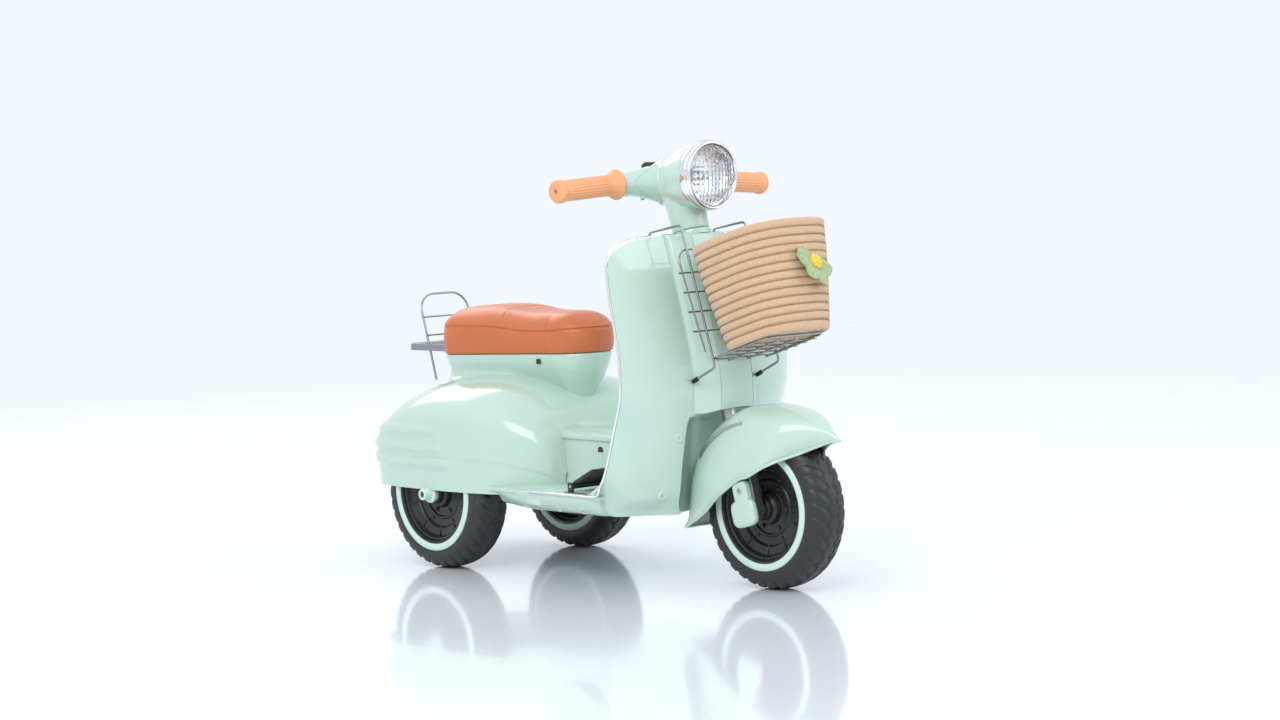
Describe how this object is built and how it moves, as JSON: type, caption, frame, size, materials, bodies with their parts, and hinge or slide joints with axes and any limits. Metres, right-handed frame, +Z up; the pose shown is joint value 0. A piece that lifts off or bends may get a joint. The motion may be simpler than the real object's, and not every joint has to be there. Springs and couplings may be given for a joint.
{
  "type": "ride-on toy scooter",
  "caption": "Child's battery ride-on scooter in a classic step-through moped shape, with a steered front wheel, two rear wheels, a lift-off seat and a rope basket.",
  "frame": {"origin": "centre of the box on the ground", "axes": "+X forwards, +Y to the rider's left, +Z up"},
  "size_m": [0.8104, 0.3774, 0.5785],
  "materials": {
    "mint": "as seen",
    "black_plastic": "as seen",
    "tyre": "as seen",
    "ring": "as seen",
    "steel": "as seen",
    "chrome": "as seen",
    "leather": "as seen",
    "grip": "as seen",
    "rope": "as seen",
    "felt": "as seen",
    "grey_plastic": "as seen",
    "lens": "as seen",
    "mirror": "as seen",
    "white_plastic": "as seen",
    "rubber": "as seen",
    "green_board": "as seen"
  },
  "bodies": {
    "frame": {"leg_shield_front": "mint", "leg_shield_inner": "mint", "horn_cover": "mint", "head_tube": "steel", "steering_bushes": "white_plastic", "edge_trim": "chrome", "floor_pan": "mint", "chassis_tray": "mint", "rear_axle_carrier": "black_plastic", "rear_axle": "steel", "rear_axle_caps": "ring", "gearbox": "black_plastic", "drive_motor": "steel", "rear_body_right": "mint", "rear_body_left": "mint", "rear_rack": "grey_plastic", "backrest": "chrome", "basket_uprights": "chrome", "basket_leg_caps": "rubber", "basket_back_grid": "chrome", "basket_tray_rim": "chrome", "basket_tray_wires": "chrome", "pedal_bracket": "black_plastic", "pedal_pin": "steel", "battery": "black_plastic", "battery_shelf": "black_plastic", "control_board": "green_board"},
    "steering": {"fork_legs": "black_plastic", "fork_crown": "black_plastic", "steering_stem": "steel", "front_axle": "steel", "fork_covers": "mint", "front_fender": "mint", "handlebar_tube": "steel", "grip_right": "grip", "grip_left": "grip", "headset_front": "mint", "headset_rear": "mint", "bar_clamp": "black_plastic", "headlight_bezel": "chrome", "headlight_lens": "lens", "headlight_reflector": "mirror", "headlight_led": "white_plastic"},
    "front_wheel": {"front_tyre": "tyre", "front_hub": "black_plastic", "front_rings": "ring"},
    "rear_wheel_right": {"rear_tyre_right": "tyre", "rear_hub_right": "black_plastic", "rear_rings_right": "ring"},
    "rear_wheel_left": {"rear_tyre_left": "tyre", "rear_hub_left": "black_plastic", "rear_rings_left": "ring"},
    "pedal": {"accelerator_pedal": "black_plastic"},
    "seat": {"seat_cushion": "leather", "seat_base": "black_plastic"},
    "basket": {"rope_basket": "rope", "felt_flower": "felt"},
    "horn": {"horn_button": "white_plastic"},
    "rocker": {"power_rocker": "black_plastic"}
  },
  "joints": [
    {"name": "steering_turn", "type": "hinge", "parent": "frame", "child": "steering", "pos_m": [0.1548, 0, 0.462], "axis": [-0.2419, 0, 0.9703], "range_deg": [-30, 30]},
    {"name": "front_wheel_spin", "type": "hinge", "parent": "steering", "child": "front_wheel", "pos_m": [0.2948, 0, 0.105], "axis": [0, 1, 0], "continuous": true},
    {"name": "rear_wheel_right_spin", "type": "hinge", "parent": "frame", "child": "rear_wheel_right", "pos_m": [-0.2232, -0.1225, 0.105], "axis": [0, 1, 0], "continuous": true},
    {"name": "rear_wheel_left_spin", "type": "hinge", "parent": "frame", "child": "rear_wheel_left", "pos_m": [-0.2232, 0.1225, 0.105], "axis": [0, 1, 0], "continuous": true},
    {"name": "pedal_press", "type": "hinge", "parent": "frame", "child": "pedal", "pos_m": [0.0568, -0.112, 0.131], "axis": [0, 1, 0], "range_deg": [0, 14], "stiffness_Nm_per_rad": 0.5, "springref_deg": -11.46},
    {"name": "seat_lift", "type": "slide", "parent": "frame", "child": "seat", "axis": [0, 0, 1], "range_m": [0, 0.12]},
    {"name": "basket_lift", "type": "slide", "parent": "frame", "child": "basket", "axis": [0.342, 0, 0.9397], "range_m": [0, 0.16]},
    {"name": "horn_press", "type": "slide", "parent": "steering", "child": "horn", "axis": [0.7071, 0, -0.7071], "range_m": [0, 0.002], "stiffness_N_per_m": 400, "springref_m": -0.001},
    {"name": "power_switch", "type": "hinge", "parent": "steering", "child": "rocker", "pos_m": [0.1093, -0.028, 0.543], "axis": [0, 1, 0], "range_deg": [0, 28]}
  ]
}
